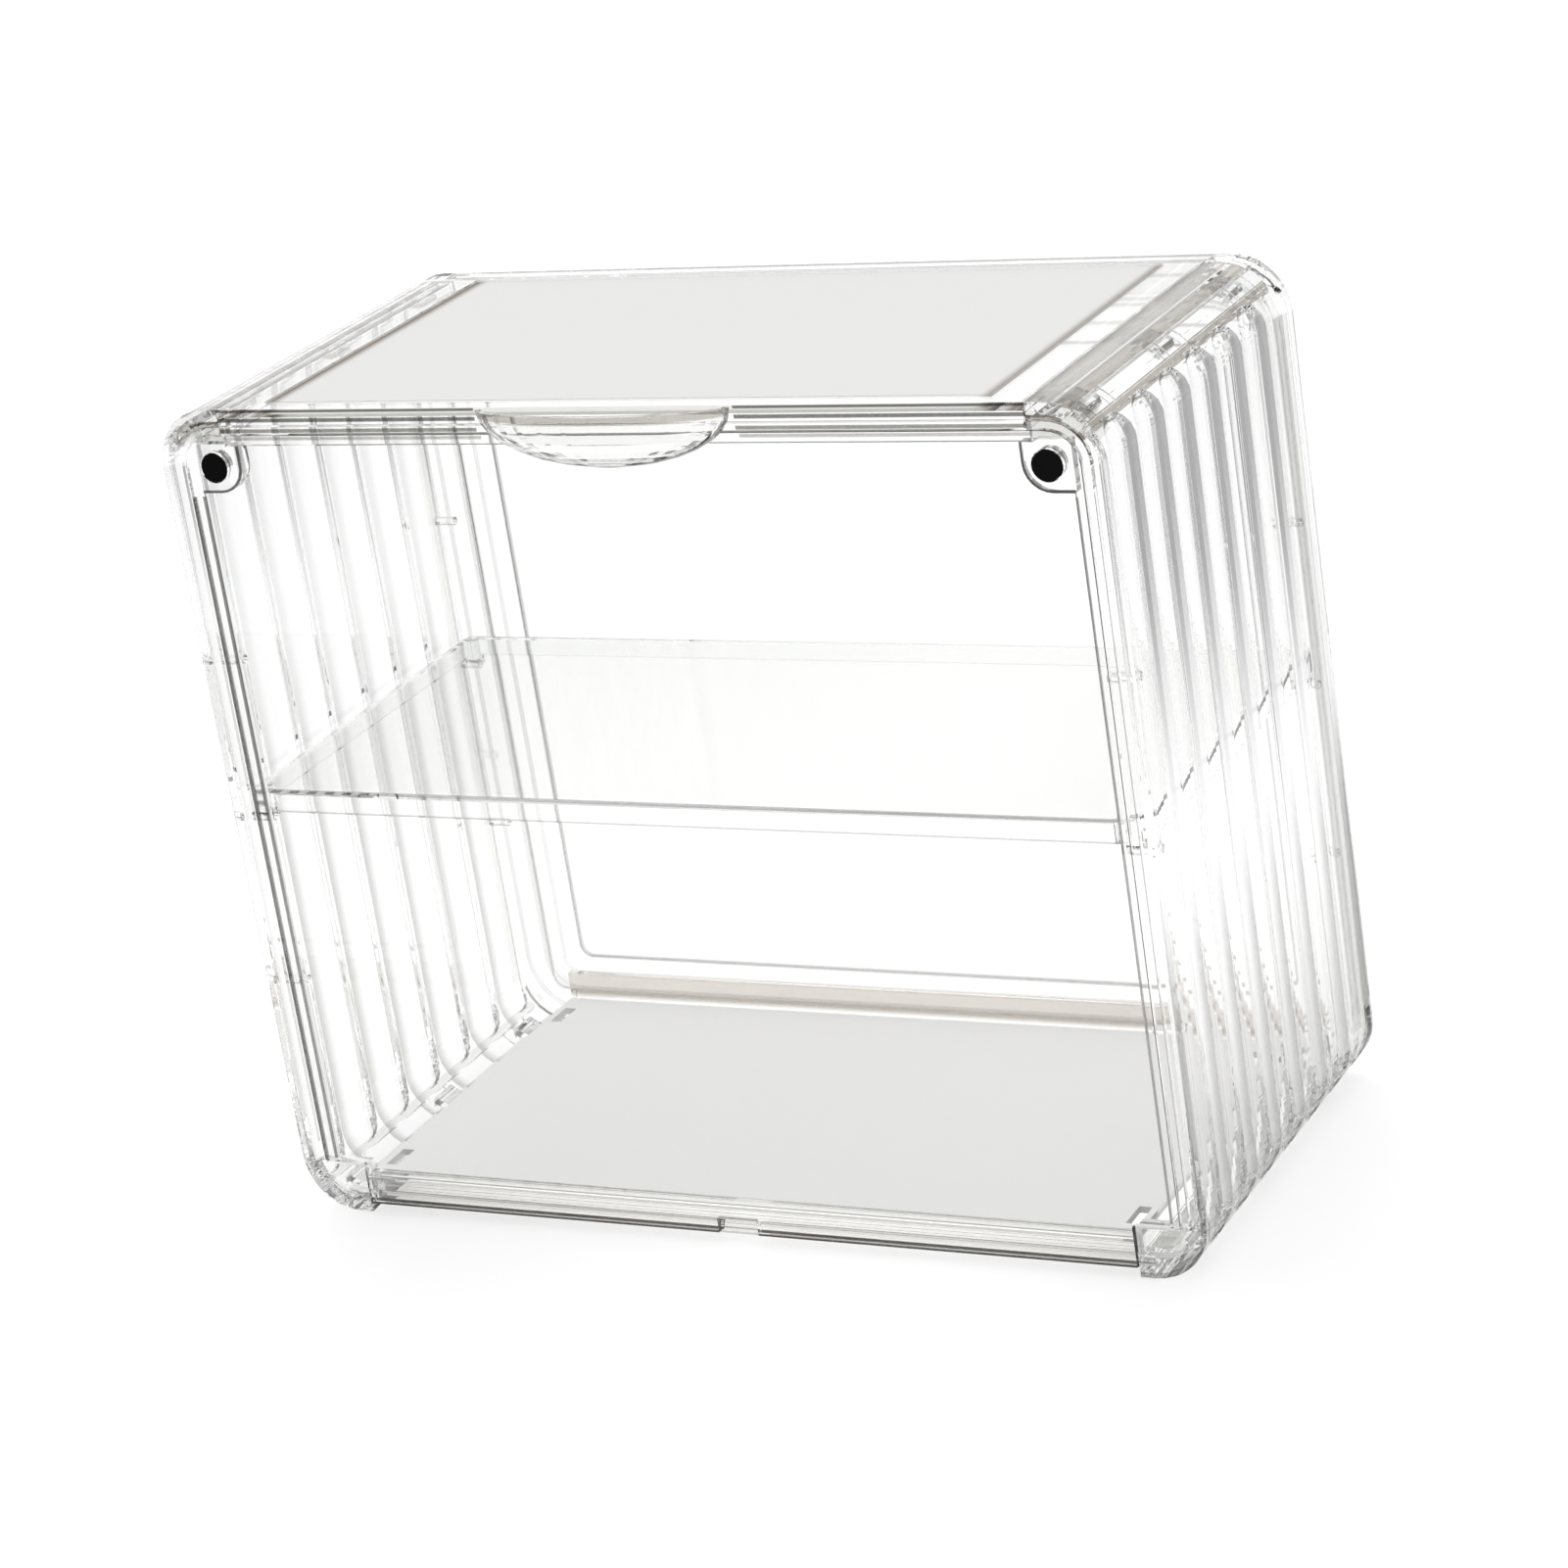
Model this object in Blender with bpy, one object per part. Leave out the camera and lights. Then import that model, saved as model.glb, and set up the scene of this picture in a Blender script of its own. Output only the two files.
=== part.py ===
"""Clear plastic display case with fluted sides, a shelf and a magnetic front door.

Units are metres and +Z is up. The front faces -Y. The origin is on the surface that the
case stands on, in the middle of the box that holds the whole case with its pull.

Places are measured the way the mould maker does: `inset` is the distance inward from the
outer skin, and `back` is the distance behind the plane of the front face.
"""
import math

import bmesh
import bpy
from mathutils import Matrix, Vector

# Overall size of the case, without the pull
WIDTH = 0.340
DEPTH = 0.160
HEIGHT = 0.293

# Clearances
GAP = 0.0003
SINK = 0.0002
OVERRUN = 0.002
SLACK = 0.0005
HINGE_SLACK = 0.0007

# Side panels: skin, rounded corners and flutes
WALL = 0.0022
CORNER_RADIUS = 0.020
ARM_REACH = 0.025
EDGE_BAND = 0.0012
REAR_BAND = 0.0080
REAR_STEP = 0.0018
FLUTE_COUNT = 7
FLUTE_DEPTH = 0.0016
FLUTE_WALL = 0.0038
FLUTE_LAND = 0.0008
FLUTE_TIP_ANGLE = math.radians(53)
FLUTE_NARROWEST_SHARE = 0.25
FLUTE_END_SHARES = (0.04, 0.12, 0.3, 0.6, 1.0)
FLUTE_SHARES = (-1.0, -0.75, -0.5, -0.25, 0.0, 0.25, 0.5, 0.75, 1.0)
CORNER_STEPS = 9

# Rails inside the rounded corners, with the row of pockets between them
RAIL_THICK = 0.0046
POCKET_START_ANGLE = math.radians(25)
POCKET_END_ANGLE = math.radians(48)
POCKET_SLOPE = 0.0004
CATCH_POCKET_LENGTH = 0.0138
POCKET_FIRST_BACK = 0.0096
POCKET_LAST_FROM_REAR = 0.0165
RIB_THICK = 0.0012

# Front frame, hollow behind its face, with the ledge that the door closes on, and rear frame
FRAME_FACE = 0.0088
FRAME_WIDTH = 0.013
LEDGE_THICK = 0.0021
FACE_WALL = 0.0023
WEB_THICK = 0.0022
REAR_LIP_WIDTH = 0.015
REAR_LIP_THICK = 0.0022

# Shelf pegs on the posts, at three levels
PEG_RADIUS = 0.0016
PEG_LENGTH = 0.0096
PEG_ROOT = 0.0024
PEG_BACK = 0.0084
REAR_PEG_FROM_REAR = 0.0085
LOW_PEG_HEIGHT = 0.085
MIDDLE_PEG_HEIGHT = 0.146
HIGH_PEG_HEIGHT = 0.203

# Magnets and their bosses
MAGNET_RADIUS = 0.005
CASE_MAGNET_THICK = 0.003
DOOR_MAGNET_THICK = 0.0022
BOSS_RADIUS = 0.0094
BOSS_FLOOR = 0.002

# Hinge of the door and the corner blocks that hold its pins
AXIS_BACK = 0.0035
AXIS_HEIGHT = 0.005
BARREL_RADIUS = 0.0022
PIN_RADIUS = 0.0015
PIN_LENGTH = 0.005
BLOCK_HEIGHT = 0.0175
BLOCK_DEPTH = 0.008

# Door
DOOR_THICK = 0.0026
DOOR_FOOT = 0.0032
DOOR_SHOULDER_CLEARANCE = 0.001
DOOR_CORNER_RADIUS = 0.001
GATE_WIDTH = 0.015
GATE_HEIGHT = 0.0085

# Half-moon pull
PULL_HALF_WIDTH = 0.046
PULL_DROP = 0.0195
PULL_REACH = 0.0106
PULL_WALL = 0.0022
PULL_BELOW_TOP = 0.0006
PULL_ROOT = 0.0005
PULL_SEGMENTS = 28
PULL_RINGS = 16

# Top and bottom panels
PANEL_THICK = 0.0032
FIELD_MARGIN = 0.014
FIELD_FRONT_MARGIN = 0.008
FIELD_REAR_MARGIN = 0.010
FIELD_DEPTH = 0.0008
RIM_THICK = 0.0024
RIM_HEIGHT = 0.010
FLOOR_HEIGHT = 0.014
FLOOR_PLATE_THICK = 0.0024
FLOOR_FRONT_BACK = 0.0061
FLOOR_FRONT_THICK = 0.0024
SILL_HEIGHT = 0.0026
FLOOR_GROOVE_COUNT = 3
FLOOR_GROOVE_HEIGHT = 0.0032
FLOOR_GROOVE_PITCH = 0.0024
FLOOR_GROOVE_DEPTH = 0.0005
FLOOR_GROOVE_WIDTH = 0.0012
BASE_STRIP_THICK = 0.0024

# Snap tongues of the top and bottom panels, with beads that sit in the catch pockets
TONGUE_COUNT = 3
TONGUE_SIDE_GAP = 0.0015
TONGUE_INSET = 0.0051
TONGUE_THICK = 0.0020
SKIRT_THICK = 0.00225
SKIRT_DROP = 0.0095
BEAD_INSET = 0.0034
BEAD_START_ANGLE = math.radians(28)
BEAD_END_ANGLE = math.radians(34)
TONGUE_END_ANGLE = math.radians(40)
TONGUE_STEPS = 3
BEAD_STEPS = 1
SLOT_WIDTH = 0.0046
SLOT_LENGTH = 0.012

# Back panel
BACK_THICK = 0.0026
EMBOSS_HALF_WIDTH = 0.139
EMBOSS_BOTTOM = 0.030
EMBOSS_TOP_MARGIN = 0.030
EMBOSS_RADIUS = 0.005
EMBOSS_DEPTH = 0.0008

# Shelf: a tray turned upside down, with a skirt all round and feet over the pegs
SHELF_THICK = 0.0022
SHELF_ABOVE_PEG = 0.0115
SHELF_SIDE_GAP = 0.0032
SHELF_DOOR_GAP = 0.0011
SHELF_CORNER_RADIUS = 0.003
SHELF_SKIRT_THICK = 0.0020
SHELF_SKIRT_HEIGHT = 0.0081
EAR_RADIUS = 0.0010
FOOT_WIDTH = 0.0046
FOOT_LENGTH = 0.0072
FOOT_FROM_EDGE = 0.0006

# Smoothness of round shapes
ROUND_SEGMENTS = 24
PEG_SEGMENTS = 12
ARC_STEPS = 6
SMALL_ARC_STEPS = 3
SMOOTH_ANGLE = math.radians(32)

# Places that several pieces share
FRONT_Y = (PULL_REACH - DEPTH) / 2
SEAM_X = WIDTH / 2 - ARM_REACH
PANEL_HALF_WIDTH = SEAM_X - GAP / 2
LEDGE_BACK = DOOR_THICK + GAP
FRAME_BACK = LEDGE_BACK + LEDGE_THICK
MAGNET_X = WIDTH / 2 - CORNER_RADIUS
MAGNET_Z = HEIGHT - CORNER_RADIUS
BOSS_BACK = LEDGE_BACK + SINK
BACK_PANEL_REAR = DEPTH - REAR_LIP_THICK - GAP
BACK_PANEL_FRONT = BACK_PANEL_REAR - BACK_THICK
RIM_REAR = BACK_PANEL_FRONT - SLACK
FLUTE_PITCH = (DEPTH - 2 * EDGE_BAND) / FLUTE_COUNT
FLUTE_HALF_WIDTH = (FLUTE_PITCH - FLUTE_LAND) / 2
SHELF_HALF_WIDTH = WIDTH / 2 - FLUTE_WALL - SHELF_SIDE_GAP
SHELF_TOP = MIDDLE_PEG_HEIGHT + SHELF_ABOVE_PEG

CLEAR_TINT = (0.93, 0.94, 0.94, 1.0)
FLOOR_TINT = (0.87, 0.87, 0.86, 1.0)
MAGNET_TINT = (0.012, 0.012, 0.013, 1.0)


def y_at(back):
    """World Y of a point `back` metres behind the front face."""
    return FRONT_Y + back


# Shapes

def object_from(bm, name="tool"):
    """Turn a bmesh into an object in the scene, with its faces pointing out."""
    bmesh.ops.recalc_face_normals(bm, faces=bm.faces)
    mesh = bpy.data.meshes.new(name)
    bm.to_mesh(mesh)
    bm.free()
    item = bpy.data.objects.new(name, mesh)
    bpy.context.scene.collection.objects.link(item)
    return item


def prism(outline, axis, start, end, name="tool"):
    """Extrude a closed outline along one axis: outlines are (y, z), (x, z) or (x, y)."""
    order = {"X": (2, 0, 1), "Y": (0, 2, 1), "Z": (0, 1, 2)}[axis]
    bm = bmesh.new()
    ring = []
    for first, second in outline:
        flat = (first, second, start)
        ring.append(bm.verts.new([flat[place] for place in order]))
    face = bm.faces.new(ring)
    moved = bmesh.ops.extrude_face_region(bm, geom=[face])["geom"]
    step = Vector([(0, 0, end - start)[place] for place in order])
    bmesh.ops.translate(bm, verts=[v for v in moved if isinstance(v, bmesh.types.BMVert)], vec=step)
    return object_from(bm, name)


def box(low, high, name="tool"):
    """A box between two corners."""
    outline = [(low[0], low[1]), (high[0], low[1]), (high[0], high[1]), (low[0], high[1])]
    return prism(outline, "Z", low[2], high[2], name)


def rod(axis, start, end, centre, radius, segments=ROUND_SEGMENTS, name="tool"):
    """A round bar along X or Y; centre holds its two other coordinates."""
    turn = 2 * math.pi / segments
    ring = [(centre[0] + radius * math.cos(turn * k), centre[1] + radius * math.sin(turn * k))
            for k in range(segments)]
    return prism(ring, axis, start, end, name)


def rounded(corners, steps=ARC_STEPS):
    """Outline through (a, b, radius) corners, each rounded by its radius."""
    outline = []
    for place, (a, b, radius) in enumerate(corners):
        here = Vector((a, b))
        before = Vector(corners[place - 1][:2]) - here
        after = Vector(corners[(place + 1) % len(corners)][:2]) - here
        if radius <= 0:
            outline.append(tuple(here))
            continue
        half = before.angle(after) / 2
        to_centre = (before.normalized() + after.normalized()).normalized()
        centre = here + to_centre * radius / math.sin(half)
        first = here + before.normalized() * radius / math.tan(half) - centre
        sweep = first.angle_signed(here + after.normalized() * radius / math.tan(half) - centre)
        for step in range(steps + 1):
            outline.append(tuple(centre + Matrix.Rotation(-sweep * step / steps, 2) @ first))
    return outline


def combine(body, tools, operation):
    """Join tools to a body, or cut them out of it, and clear the tools away."""
    for tool in tools:
        modifier = body.modifiers.new("combine", "BOOLEAN")
        modifier.operation = operation
        modifier.solver = "EXACT"
        modifier.object = tool
    bpy.context.view_layer.update()
    evaluated = body.evaluated_get(bpy.context.evaluated_depsgraph_get())
    mesh = bpy.data.meshes.new_from_object(evaluated)
    body.modifiers.clear()
    body.data = mesh
    for tool in tools:
        bpy.data.objects.remove(tool)
    return body


def mirrored(outline):
    """An outline of the top right corner, turned over for the bottom right one."""
    return [(x, HEIGHT - z) for x, z in outline]


def corner_point(inset, angle):
    """Point (x, z) of the top right corner, angle measured from straight up."""
    radius = CORNER_RADIUS - inset
    return MAGNET_X + radius * math.sin(angle), MAGNET_Z + radius * math.cos(angle)


def corner_arc(inset, start, end, steps):
    """Points along the top right corner at one inset."""
    return [corner_point(inset, start + (end - start) * k / steps) for k in range(steps + 1)]


# Side panels

def skin_point(travel):
    """Outer skin point and inward direction, `travel` metres round from the top seam."""
    arm = ARM_REACH - CORNER_RADIUS
    quarter = CORNER_RADIUS * math.pi / 2
    if travel <= arm:
        return Vector((SEAM_X + travel, 0, HEIGHT)), Vector((0, 0, -1))
    if travel <= arm + quarter:
        angle = (travel - arm) / CORNER_RADIUS
        x, z = corner_point(0, angle)
        return Vector((x, 0, z)), Vector((-math.sin(angle), 0, -math.cos(angle)))
    return Vector((WIDTH / 2, 0, MAGNET_Z - (travel - arm - quarter))), Vector((-1, 0, 0))


def flute_travels():
    """Where the flutes' arched ends start, and where they reach their full width."""
    tip = ARM_REACH - CORNER_RADIUS + CORNER_RADIUS * FLUTE_TIP_ANGLE
    return tip, tip + FLUTE_HALF_WIDTH


def pocket_travels():
    """Where the pockets between the rails start and end."""
    arm = ARM_REACH - CORNER_RADIUS
    return arm + CORNER_RADIUS * POCKET_START_ANGLE, arm + CORNER_RADIUS * POCKET_END_ANGLE


def upper_stations():
    """Travels of the sections from the top seam to the straight wall."""
    arm = ARM_REACH - CORNER_RADIUS
    quarter = CORNER_RADIUS * math.pi / 2
    tip, full = flute_travels()
    first, last = pocket_travels()
    travels = [GAP / 2, first, first + POCKET_SLOPE, last - POCKET_SLOPE, last, tip]
    travels += [tip + share * (full - tip) for share in FLUTE_END_SHARES]
    for step in range(CORNER_STEPS + 1):
        travel = arm + quarter * step / CORNER_STEPS
        if all(abs(travel - other) > POCKET_SLOPE for other in travels):
            travels.append(travel)
    return sorted(travels)


def flute_share(travel):
    """Share of the flutes' full depth at a travel: their ends are round arches."""
    tip, full = flute_travels()
    left = min(max((full - travel) / (full - tip), 0.0), 1.0)
    return math.sqrt(1.0 - left * left)


def flute_line(travel):
    """The hollow flutes from front to rear as (inset, back) points."""
    share = flute_share(travel)
    half = FLUTE_HALF_WIDTH * max(share, FLUTE_NARROWEST_SHARE)
    line = []
    for flute in range(FLUTE_COUNT):
        middle = EDGE_BAND + (flute + 0.5) * FLUTE_PITCH
        for across in FLUTE_SHARES:
            line.append((FLUTE_DEPTH * share * (1.0 - across * across), middle + across * half))
    return line


def inner_inset(travel):
    """Inset of the inner face: thin in the pockets, thick in the rails, between on the wall."""
    first, last = pocket_travels()
    if first < travel < last:
        return WALL
    return RAIL_THICK + (FLUTE_WALL - RAIL_THICK) * flute_share(travel)


def panel_section(travel):
    """Closed outline of the side panel at one travel, as (inset, back) points."""
    outer = [(0, 0)] + flute_line(travel) + [(0, DEPTH)]
    rear_lip = [(REAR_LIP_WIDTH, DEPTH), (REAR_LIP_WIDTH, DEPTH - REAR_LIP_THICK),
                (WALL, DEPTH - REAR_LIP_THICK), (WALL, DEPTH - REAR_BAND + REAR_STEP)]
    thick = inner_inset(travel)
    inner = [(thick, DEPTH - REAR_BAND), (thick, FACE_WALL)]
    web = FRAME_FACE - WEB_THICK
    frame = [(web, FACE_WALL), (web, FRAME_BACK), (FRAME_WIDTH, FRAME_BACK),
             (FRAME_WIDTH, LEDGE_BACK), (FRAME_FACE, LEDGE_BACK), (FRAME_FACE, 0)]
    return outer + rear_lip + inner + frame


def fluted_shell():
    """The right side panel's moulded skin: one section carried round the whole C."""
    upper = upper_stations()
    bm = bmesh.new()
    rings = []
    for turned in (False, True):
        for travel in (reversed(upper) if turned else upper):
            skin, inward = skin_point(travel)
            ring = []
            for inset, back in panel_section(travel):
                point = skin + inward * inset
                height = HEIGHT - point.z if turned else point.z
                ring.append(bm.verts.new((point.x, y_at(back), height)))
            rings.append(ring)
    bm.faces.new(rings[0])
    bm.faces.new(rings[-1])
    for ring, following in zip(rings, rings[1:]):
        for place in range(len(ring)):
            bm.faces.new((ring[place - 1], ring[place], following[place], following[place - 1]))
    return object_from(bm)


def magnet_boss():
    """Pad (x, z) round the magnet, from the post and the frame's arm to its round corner."""
    left = MAGNET_X - BOSS_RADIUS
    foot = MAGNET_Z - BOSS_RADIUS
    frame_foot = HEIGHT - FRAME_WIDTH
    arm = SEAM_X + GAP / 2 + SINK
    post = WIDTH / 2 - FRAME_WIDTH + SINK
    outline = [(left, foot, BOSS_RADIUS), (post, foot, 0), (post, frame_foot + SINK, 0),
               (arm, frame_foot + SINK, 0), (arm, frame_foot - GAP, 0), (left, frame_foot - GAP, 0)]
    return rounded(outline)


def hinge_block():
    """The closed corner block that a hinge pin turns in."""
    inset = FLUTE_DEPTH + SINK
    arc = corner_arc(inset, 0, math.pi / 2, ARC_STEPS)
    start = SEAM_X + GAP / 2 + SINK
    top = HEIGHT - BLOCK_HEIGHT
    outline = [(start, top), (start, HEIGHT - inset)]
    outline += [point for point in arc if point[1] > top]
    outline.append((WIDTH / 2 - inset - SINK, top))
    return prism(mirrored(outline), "Y", y_at(SINK), y_at(BLOCK_DEPTH))


def catch_pockets():
    """Front and rear of the pockets that the beads of the snap tongues sit in."""
    last = DEPTH - POCKET_LAST_FROM_REAR - CATCH_POCKET_LENGTH
    pitch = (last - POCKET_FIRST_BACK) / (TONGUE_COUNT - 1)
    starts = [POCKET_FIRST_BACK + pitch * k for k in range(TONGUE_COUNT)]
    return [(start, start + CATCH_POCKET_LENGTH) for start in starts]


def pocket_ribs():
    """Thin ribs between the rails of both corners, at the ends of the catch pockets."""
    reach = POCKET_SLOPE / CORNER_RADIUS
    start = POCKET_START_ANGLE - reach
    end = POCKET_END_ANGLE + reach
    outline = corner_arc(WALL - SINK, start, end, TONGUE_STEPS)
    outline += corner_arc(RAIL_THICK - SINK, start, end, TONGUE_STEPS)[::-1]
    ribs = []
    for low, high in catch_pockets():
        for back in (low - RIB_THICK, high):
            for shape in (outline, mirrored(outline)):
                ribs.append(prism(shape, "Y", y_at(back), y_at(back + RIB_THICK)))
    return ribs


def shelf_pegs():
    """Pegs on the front and rear posts at every shelf level."""
    start = WIDTH / 2 - PEG_ROOT - PEG_LENGTH
    end = WIDTH / 2 - PEG_ROOT
    pegs = []
    for level in (LOW_PEG_HEIGHT, MIDDLE_PEG_HEIGHT, HIGH_PEG_HEIGHT):
        for back in (PEG_BACK, DEPTH - REAR_PEG_FROM_REAR):
            pegs.append(rod("X", start, end, (y_at(back), level), PEG_RADIUS, PEG_SEGMENTS))
    return pegs


def side_panel(name, side):
    """One fluted side panel with its frame, corner block, boss, pegs and pockets."""
    body = fluted_shell()
    bore_end = BOSS_BACK + CASE_MAGNET_THICK + GAP
    boss = prism(magnet_boss(), "Y", y_at(BOSS_BACK), y_at(bore_end + BOSS_FLOOR))
    combine(body, [boss, hinge_block()] + shelf_pegs() + pocket_ribs(), "UNION")
    bore = rod("Y", y_at(0), y_at(bore_end), (MAGNET_X, MAGNET_Z), MAGNET_RADIUS + GAP)
    socket_start = SEAM_X - OVERRUN
    socket_end = SEAM_X + PIN_LENGTH + GAP
    socket = rod("X", socket_start, socket_end, (y_at(AXIS_BACK), AXIS_HEIGHT),
                 PIN_RADIUS + GAP, PEG_SEGMENTS)
    combine(body, [bore, socket], "DIFFERENCE")
    if side < 0:
        body.data.transform(Matrix.Scale(-1, 4, (1, 0, 0)))
        body.data.flip_normals()
    return finish(body, name, CLEAR_TINT)


# Top and bottom panels

def tongue_spans():
    """Front and rear of each snap tongue, behind the front face."""
    return [(low + TONGUE_SIDE_GAP, high - TONGUE_SIDE_GAP) for low, high in catch_pockets()]


def tongue_outline():
    """Profile of a snap tongue in the top right corner, from inside the skirt outward."""
    last = TONGUE_INSET + TONGUE_THICK
    root_x = PANEL_HALF_WIDTH - SKIRT_THICK / 2
    outline = [(root_x, HEIGHT - TONGUE_INSET)]
    outline += corner_arc(TONGUE_INSET, 0, BEAD_START_ANGLE, TONGUE_STEPS)
    outline += corner_arc(BEAD_INSET, BEAD_START_ANGLE, BEAD_END_ANGLE, BEAD_STEPS)
    outline += [corner_point(TONGUE_INSET, TONGUE_END_ANGLE)]
    outline += corner_arc(last, TONGUE_END_ANGLE, 0, TONGUE_STEPS)
    outline.append((root_x, HEIGHT - last))
    return outline


def snap_tongues(outline):
    """All tongues of a panel, on both sides."""
    tongues = []
    for side in (1, -1):
        shape = [(side * x, z) for x, z in outline]
        for low, high in tongue_spans():
            tongues.append(prism(shape, "Y", y_at(low), y_at(high)))
    return tongues


def skirts(front_back, low, high):
    """Walls along both side edges of a panel, between two heights, that carry the tongues."""
    front = y_at(front_back - SINK)
    rear = y_at(RIM_REAR - RIM_THICK + SINK)
    walls = []
    for side in (1, -1):
        edges = sorted((side * (PANEL_HALF_WIDTH - SINK), side * (PANEL_HALF_WIDTH - SKIRT_THICK)))
        walls.append(box((edges[0], front, low), (edges[1], rear, high)))
    return walls


def top_panel():
    """The lid: a plate with a hollow front rail, a rear channel and a sunk field."""
    face_foot = HEIGHT - FRAME_FACE
    ledge_foot = HEIGHT - FRAME_WIDTH
    under = HEIGHT - PANEL_THICK
    rim_front = RIM_REAR - RIM_THICK
    lip_front = DEPTH - REAR_LIP_THICK
    web_top = face_foot + WEB_THICK
    outline = [(0, HEIGHT), (0, face_foot), (LEDGE_BACK, face_foot), (LEDGE_BACK, ledge_foot),
               (FRAME_BACK, ledge_foot), (FRAME_BACK, web_top), (FACE_WALL, web_top),
               (FACE_WALL, under), (rim_front, under),
               (rim_front, under - RIM_HEIGHT), (RIM_REAR, under - RIM_HEIGHT), (RIM_REAR, under),
               (lip_front, under), (lip_front, HEIGHT - REAR_LIP_WIDTH),
               (DEPTH, HEIGHT - REAR_LIP_WIDTH), (DEPTH, HEIGHT)]
    shape = [(y_at(back), height) for back, height in outline]
    body = prism(shape, "X", -PANEL_HALF_WIDTH, PANEL_HALF_WIDTH)
    edges = skirts(FRAME_BACK, HEIGHT - SKIRT_DROP, under + SINK)
    combine(body, edges + snap_tongues(tongue_outline()), "UNION")
    field_x = PANEL_HALF_WIDTH - FIELD_MARGIN
    field = box((-field_x, y_at(FIELD_FRONT_MARGIN), HEIGHT - FIELD_DEPTH),
                (field_x, y_at(DEPTH - FIELD_REAR_MARGIN), HEIGHT + OVERRUN))
    combine(body, [field], "DIFFERENCE")
    return finish(body, "top_panel", FLOOR_TINT)


def floor_slots():
    """Mould slots in the floor over the front and rear tongues."""
    outer = PANEL_HALF_WIDTH - SKIRT_THICK - SINK
    spans = tongue_spans()
    slots = []
    for side in (1, -1):
        edges = sorted((side * outer, side * (outer - SLOT_WIDTH)))
        for low, high in (spans[0], spans[-1]):
            middle = (low + high) / 2
            slots.append(box((edges[0], y_at(middle - SLOT_LENGTH / 2), TONGUE_INSET),
                             (edges[1], y_at(middle + SLOT_LENGTH / 2), FLOOR_HEIGHT + OVERRUN)))
    return slots


def grooved_front(back):
    """Points (back, z) up the floor's front face, with its row of grooves."""
    points = [(back, 0)]
    for place in range(FLOOR_GROOVE_COUNT):
        low = FLOOR_GROOVE_HEIGHT + FLOOR_GROOVE_PITCH * place
        high = low + FLOOR_GROOVE_WIDTH
        points += [(back, low), (back + FLOOR_GROOVE_DEPTH, low),
                   (back + FLOOR_GROOVE_DEPTH, high), (back, high)]
    return points


def bottom_panel():
    """The floor: a raised plate with a ribbed front wall, a sill and a rear channel."""
    rim_front = RIM_REAR - RIM_THICK
    lip_front = DEPTH - REAR_LIP_THICK
    under = FLOOR_HEIGHT - FLOOR_PLATE_THICK
    sill_foot = FLOOR_HEIGHT - SILL_HEIGHT
    front_rear = FLOOR_FRONT_BACK + FLOOR_FRONT_THICK
    outline = grooved_front(FLOOR_FRONT_BACK)
    outline += [(FLOOR_FRONT_BACK, sill_foot), (LEDGE_BACK, sill_foot), (LEDGE_BACK, FLOOR_HEIGHT),
                (rim_front, FLOOR_HEIGHT), (rim_front, FLOOR_HEIGHT + RIM_HEIGHT),
                (RIM_REAR, FLOOR_HEIGHT + RIM_HEIGHT), (RIM_REAR, BASE_STRIP_THICK),
                (lip_front, BASE_STRIP_THICK), (lip_front, REAR_LIP_WIDTH),
                (DEPTH, REAR_LIP_WIDTH), (DEPTH, 0), (rim_front, 0), (rim_front, under),
                (front_rear, under), (front_rear, 0)]
    shape = [(y_at(back), z) for back, z in outline]
    body = prism(shape, "X", -PANEL_HALF_WIDTH, PANEL_HALF_WIDTH)
    edges = skirts(FLOOR_FRONT_BACK + FLOOR_FRONT_THICK, TONGUE_INSET - SLACK, under + SINK)
    combine(body, edges + snap_tongues(mirrored(tongue_outline())), "UNION")
    combine(body, floor_slots(), "DIFFERENCE")
    return finish(body, "bottom_panel", FLOOR_TINT)


# Back panel, shelf and magnets

def back_panel():
    """Rounded clear sheet with a shallow rounded field pressed into its inner face."""
    half = WIDTH / 2 - WALL - SLACK
    radius = CORNER_RADIUS - WALL - SLACK
    low = BASE_STRIP_THICK + SLACK
    high = HEIGHT - PANEL_THICK - SLACK
    outline = rounded([(half, low, radius), (half, high, radius),
                       (-half, high, radius), (-half, low, radius)])
    body = prism(outline, "Y", y_at(BACK_PANEL_FRONT), y_at(BACK_PANEL_REAR))
    top = HEIGHT - EMBOSS_TOP_MARGIN
    pressed = rounded([(EMBOSS_HALF_WIDTH, EMBOSS_BOTTOM, EMBOSS_RADIUS),
                       (EMBOSS_HALF_WIDTH, top, EMBOSS_RADIUS),
                       (-EMBOSS_HALF_WIDTH, top, EMBOSS_RADIUS),
                       (-EMBOSS_HALF_WIDTH, EMBOSS_BOTTOM, EMBOSS_RADIUS)])
    start = BACK_PANEL_FRONT - OVERRUN
    field = prism(pressed, "Y", y_at(start), y_at(BACK_PANEL_FRONT + EMBOSS_DEPTH))
    combine(body, [field], "DIFFERENCE")
    return finish(body, "back_panel", CLEAR_TINT)


def shelf_outline(inset):
    """Shelf outline (x, y), `inset` in from its edge: narrower in front, between the posts."""
    side = SHELF_HALF_WIDTH - inset
    front_side = WIDTH / 2 - FRAME_WIDTH - SLACK - inset
    ear_front = y_at(FRAME_BACK + SLACK + inset)
    front = y_at(DOOR_THICK + SHELF_DOOR_GAP + inset)
    rear = y_at(BACK_PANEL_FRONT - SLACK - inset)
    half = [(side, rear, SHELF_CORNER_RADIUS), (side, ear_front, EAR_RADIUS),
            (front_side, ear_front, 0), (front_side, front, EAR_RADIUS)]
    other = [(-x, y, radius) for x, y, radius in reversed(half)]
    return rounded(half + other, SMALL_ARC_STEPS)


def shelf_reach(back):
    """Distance from a peg's middle to the shelf's nearest edge."""
    return min(back - (FRAME_BACK + SLACK), (BACK_PANEL_FRONT - SLACK) - back)


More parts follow.
